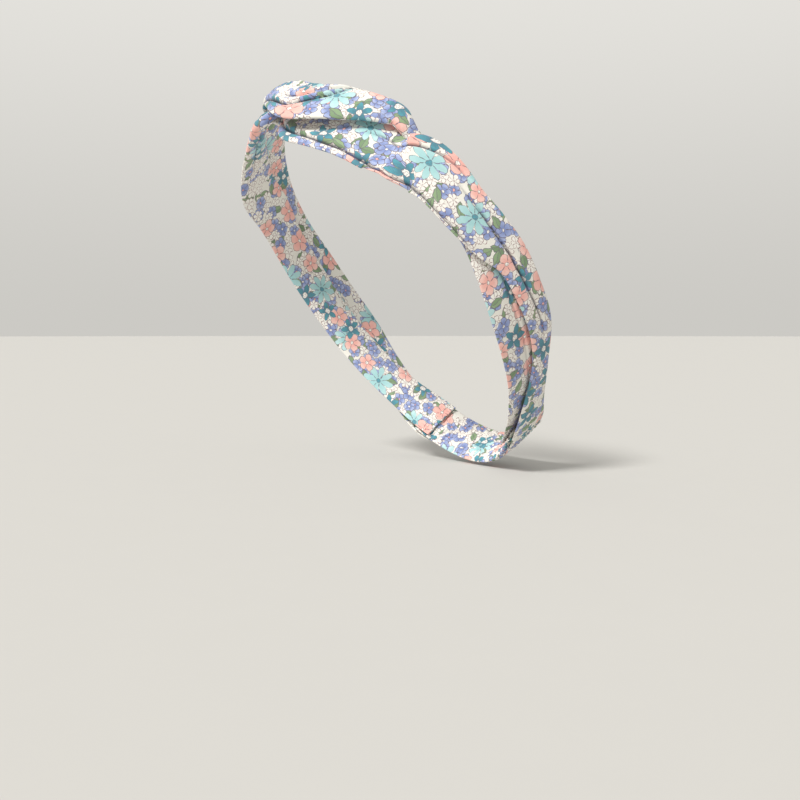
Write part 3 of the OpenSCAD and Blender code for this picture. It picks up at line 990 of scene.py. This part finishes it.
def floral_cotton():
    """Cotton lawn printed with small flowers and leaves, drawn with thin dark lines."""
    material, net, shader = new_material("floral_cotton")
    cloth = cloth_place(net)
    hand = net.vector("SUBTRACT", net.noise(cloth, 380.0, 2.0)["Color"], (0.5, 0.5, 0.5))
    drawn_at = net.vector("ADD", cloth, net.scaled(hand, 0.0019))
    scatter = scatter_group()
    blossom = blossom_group(scatter)
    leaf = leaf_group(scatter)

    def with_leaves(colour, cell, turn, seed, share):
        return net.group(
            leaf, Cloth=drawn_at, Under=colour, Cell=cell, Room=0.22, Turn=turn, Seed=seed, Share=share,
            Length=0.0082, Width=0.0042, Leaf=LEAF, Shade=PALE_LEAF, Line=INK, Line_width=0.00028,
        )["Color"]

    colour = with_leaves(GROUND, 0.0105, 0.7, 5.0, 0.6)
    colour = with_leaves(colour, 0.0115, 2.0, 6.0, 0.5)
    for kind in SMALL_BLOSSOMS:
        colour = net.group(blossom, Cloth=drawn_at, Under=colour, **kind)["Color"]
    colour = with_leaves(colour, 0.0125, 1.3, 7.0, 0.42)
    colour = with_leaves(colour, 0.0158, 2.6, 9.0, 0.34)
    for kind in LARGE_BLOSSOMS:
        colour = net.group(blossom, Cloth=drawn_at, Under=colour, **kind)["Color"]
    weave = weave_height(net, cloth)
    slub = net.noise(net.vector("MULTIPLY", cloth, (300.0, 2600.0, 1.0)), 1.0, 2.0)["Fac"]
    worn = net.math("MULTIPLY_ADD", weave, 0.10, net.math("MULTIPLY", slub, 0.10))
    colour = net.mix(worn, colour, WORN_COTTON)
    # Painted shade: cloth sunk in folds, ripples and gathers is darkened towards a near-black tone
    crease = net.node("ShaderNodeAttribute", attribute_name="crease").outputs["Fac"]
    net.put(shader.inputs["Base Color"], net.mix(net.rise(crease, 0.12, 1.15), colour, PAINTED_CREASE_SHADE))
    net.put(shader.inputs["Roughness"], net.math("MULTIPLY_ADD", weave, -0.12, 0.86))
    shader.inputs["Specular IOR Level"].default_value = 0.3
    shader.inputs["Sheen Weight"].default_value = 0.18
    shader.inputs["Sheen Roughness"].default_value = 0.5
    bump = net.node("ShaderNodeBump")
    net.put(bump.inputs["Height"], net.math("MULTIPLY_ADD", slub, 0.5, weave))
    bump.inputs["Strength"].default_value = 0.35
    bump.inputs["Distance"].default_value = 0.00006
    net.put(shader.inputs["Normal"], bump.outputs[0])
    return material


def knitted_elastic():
    """White knitted elastic: ribs along it, with the knit's small loops across them."""
    material, net, shader = new_material("knitted_elastic")
    u, v, _ = net.parts(cloth_place(net))
    loops = net.math("ABSOLUTE", net.math("SINE", net.math("MULTIPLY", u, math.pi / KNIT_LOOP)))
    ribs = net.math("ABSOLUTE", net.math("SINE", net.math("MULTIPLY", v, math.pi / (ELASTIC_PITCH * MM))))
    height = net.math("MULTIPLY_ADD", loops, 0.5, ribs)
    # Painted shade: the knit is darker in the hollows between its ribs and loops
    tone = net.math("MULTIPLY", height, 0.6)
    net.put(shader.inputs["Base Color"], net.mix(tone, ELASTIC_PAINTED_SHADE, ELASTIC_WHITE))
    net.put(shader.inputs["Roughness"], net.math("MULTIPLY_ADD", ribs, -0.15, 0.75))
    shader.inputs["Sheen Weight"].default_value = 0.15
    bump = net.node("ShaderNodeBump")
    net.put(bump.inputs["Height"], height)
    bump.inputs["Strength"].default_value = 0.6
    bump.inputs["Distance"].default_value = 0.00015
    net.put(shader.inputs["Normal"], bump.outputs[0])
    return material


def sewing_thread():
    """Cream polyester thread, its twist as slanting ridges."""
    material, net, shader = new_material("sewing_thread")
    place = net.node("ShaderNodeTexCoord").outputs["Object"]
    x, y, z = net.parts(place)
    slant = net.math("ADD", net.math("ADD", x, y), net.math("MULTIPLY", z, 1.3))
    twist = net.math("ABSOLUTE", net.math("SINE", net.math("MULTIPLY", slant, math.pi / TWIST)))
    fuzz = net.noise(place, 6000.0, 2.0)["Fac"]
    # Painted shade darkens the twist's grooves, and a random fuzz varies the tone
    tone = net.math("MULTIPLY_ADD", twist, 0.6, net.math("MULTIPLY", fuzz, 0.4))
    net.put(shader.inputs["Base Color"], net.mix(tone, THREAD_PAINTED_SHADE, THREAD_CREAM))
    net.put(shader.inputs["Roughness"], net.math("MULTIPLY_ADD", twist, -0.2, 0.65))
    bump = net.node("ShaderNodeBump")
    net.put(bump.inputs["Height"], twist)
    bump.inputs["Strength"].default_value = 0.5
    bump.inputs["Distance"].default_value = 0.00008
    net.put(shader.inputs["Normal"], bump.outputs[0])
    return material


def floor_paper():
    """Pale matt paper, with a faint grain."""
    material, net, shader = new_material("floor_paper")
    grain = net.noise(net.node("ShaderNodeTexCoord").outputs["Object"], 60.0, 3.0)["Fac"]
    tone = net.math("MULTIPLY", grain, 0.2)
    net.put(shader.inputs["Base Color"], net.mix(tone, PAPER, PAPER_GRAIN))
    shader.inputs["Roughness"].default_value = 0.9
    return material


# ---------------------------------------------------------------- stage, light, camera

FLOOR_REACH = 12.0
FLOOR_GAP = 0.0015
ROOM_LIGHT = 0.7
KEY_FROM = (0.3, -0.8, 0.75)
KEY_POWER = 3.0
KEY_SOFT = math.radians(14.0)
HORIZON = (0.60, 0.588, 0.555, 1)
WALL = (0.80, 0.785, 0.745, 1)

CAMERA_TURN = math.radians(55.0)
CAMERA_DIP = math.radians(4.0)
CAMERA_AWAY = 0.512
CAMERA_LENS = 45.0
SENSOR = 36.0
# The loop's middle in the frame: right of the centre and above it, as tangents
AIM_RIGHT = 0.006
AIM_UP = 0.101


def add_camera():
    right = Vector((math.cos(CAMERA_TURN), math.sin(CAMERA_TURN), 0))
    level = Vector((-math.sin(CAMERA_TURN), math.cos(CAMERA_TURN), 0))
    ahead = level * math.cos(CAMERA_DIP) - Vector((0, 0, 1)) * math.sin(CAMERA_DIP)
    up = right.cross(ahead)
    place = -(ahead + right * AIM_RIGHT + up * AIM_UP) * CAMERA_AWAY
    data = bpy.data.cameras.new("camera")
    data.lens = CAMERA_LENS
    data.sensor_width = SENSOR
    data.clip_start = 0.01
    camera = bpy.data.objects.new("camera", data)
    camera.matrix_world = Matrix.Translation(place) @ Matrix((right, up, -ahead)).transposed().to_4x4()
    bpy.context.collection.objects.link(camera)
    bpy.context.scene.camera = camera


def add_key():
    """One softened sun, high on the left, like a window."""
    data = bpy.data.lights.new("key", "SUN")
    data.energy = KEY_POWER
    data.angle = KEY_SOFT
    data.color = (1, 0.985, 0.96)
    lamp = bpy.data.objects.new("key", data)
    lamp.rotation_euler = (-Vector(KEY_FROM)).to_track_quat("-Z", "Y").to_euler()
    bpy.context.collection.objects.link(lamp)


def add_world():
    """Soft even light all round, which meets the floor's tone at the horizon."""
    world = bpy.data.worlds.new("studio")
    world.use_nodes = True
    net = Net(world.node_tree)
    height = net.parts(net.node("ShaderNodeTexCoord").outputs["Generated"])[2]
    back = world.node_tree.nodes["Background"]
    net.put(back.inputs["Color"], net.mix(net.rise(height, -0.02, 0.4), HORIZON, WALL))
    seen = net.node("ShaderNodeLightPath").outputs["Is Camera Ray"]
    net.put(back.inputs["Strength"], net.math("MULTIPLY_ADD", seen, 1.0 - ROOM_LIGHT, ROOM_LIGHT))
    bpy.context.scene.world = world


def add_floor(paper):
    """A wide flat floor just under the band."""
    low = min(corner[2] for corner in cad_box) - FLOOR_GAP
    sides = 96
    turns = [k * math.tau / sides for k in range(sides)]
    rim = [(FLOOR_REACH * math.cos(a), FLOOR_REACH * math.sin(a), low) for a in turns]
    mesh = bpy.data.meshes.new("floor")
    mesh.from_pydata(rim, [], [list(range(sides))])
    mesh.materials.append(paper)
    floor = bpy.data.objects.new("floor", mesh)
    bpy.context.collection.objects.link(floor)


def nape_spine(start, width, thick, rings):
    stations = [(a, NAPE_DIP, NAPE_OUT, width, thick) for a in np.linspace(start, 360 - start, 9)]
    return Spine(stations, rings, flat=False)


def finished(piece, material, slot, *nodes):
    """Gives a piece its material and hides the CAD nodes it stands for."""
    if not piece.data.materials:
        piece.data.materials.append(material)
    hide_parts(*nodes)


def on_both_halves(piece):
    """Bakes the placement of a nape piece, cloth or elastic lying between the two halves, into its mesh."""
    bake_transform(piece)


def sew_loop(side, sign, stations, flat, folds, seed, start, cotton, sewing):
    """A cotton loop with its seam, join stitches and bar tack. The sign is the side of the loop."""
    spine = Spine(stations, LOOP_RINGS, flat)
    tube = Tube(spine, LOOP_ROUND, lambda x, face: strand_lift(spine, x, face, folds, seed), CLOTH_T, start)
    loop = tube.piece(side + "_loop_cloth")
    finished(loop, cotton, "floral_cotton", side + "_loop")
    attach(loop, side + "_half")
    seam = sewing.along_edge(side + "_seam_thread", tube, LOOP_SEAM_SKIP)
    finished(seam, sewing.thread, "sewing_thread", side + "_loop_seam")
    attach(seam, side + "_half")
    offsets = (np.arange(STITCHES) - (STITCHES - 1) / 2) * (STITCH_L + STITCH_GAP)
    outs = (LIP_OUT + LIP_T / 2, LIP_IN - LIP_T / 2)
    row = sewing.across_band(side + "_join_thread", sign * (LIP_END - JOIN_INSET), offsets, outs)
    finished(row, sewing.thread, "sewing_thread", side + "_join_stitches")
    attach(row, side + "_half")
    offsets = (np.arange(TACKS) - (TACKS - 1) / 2) * ELASTIC_W / (TACKS + 1)
    outs = (NAPE_OUT + ELASTIC_T / 2 + THREAD_R * TACK_SIT,)
    tack = sewing.across_band(side + "_bartack_thread", sign * (ELASTIC_START + TACK_INSET), offsets, outs)
    finished(tack, sewing.thread, "sewing_thread", side + "_elastic_bartack")
    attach(tack, side + "_half")


def sew_nape(cotton, knit, sewing):
    """The gathered casing with its seam, and the elastic inside it."""
    spine = nape_spine(CASING_START, CASING_W, CASING_T, CASING_RINGS)
    tube = Tube(
        spine, CASING_ROUND, lambda x, face: casing_lift(spine, x, face, CASING_SEED), CLOTH_T, CASING_PRINT
    )
    casing = tube.piece("nape_casing_cloth")
    finished(casing, cotton, "floral_cotton", "nape_casing")
    seam = sewing.along_edge("casing_seam_thread", tube, CASING_SEAM_SKIP)
    finished(seam, sewing.thread, "sewing_thread", "casing_seam")
    core = nape_spine(ELASTIC_START, ELASTIC_W, ELASTIC_T, ELASTIC_RINGS)
    strip = Tube(core, ELASTIC_ROUND, lambda x, face: elastic_lift(core, x, face), 0.0)
    elastic = strip.piece("nape_elastic_knit")
    finished(elastic, knit, "knitted_elastic", "nape_elastic")
    for piece in (casing, seam, elastic):
        on_both_halves(piece)


def main():
    bpy.context.scene.view_settings.view_transform = "Standard"
    add_camera()
    add_world()
    add_key()
    add_floor(floor_paper())
    cotton = floral_cotton()
    knit = knitted_elastic()
    sewing = Sewing(sewing_thread())
    sew_loop("left", 1, LEFT_STATIONS, False, left_folds(), LEFT_SEED, LEFT_PRINT, cotton, sewing)
    sew_loop("right", -1, RIGHT_STATIONS, True, right_folds(), RIGHT_SEED, RIGHT_PRINT, cotton, sewing)
    sew_nape(cotton, knit, sewing)


main()
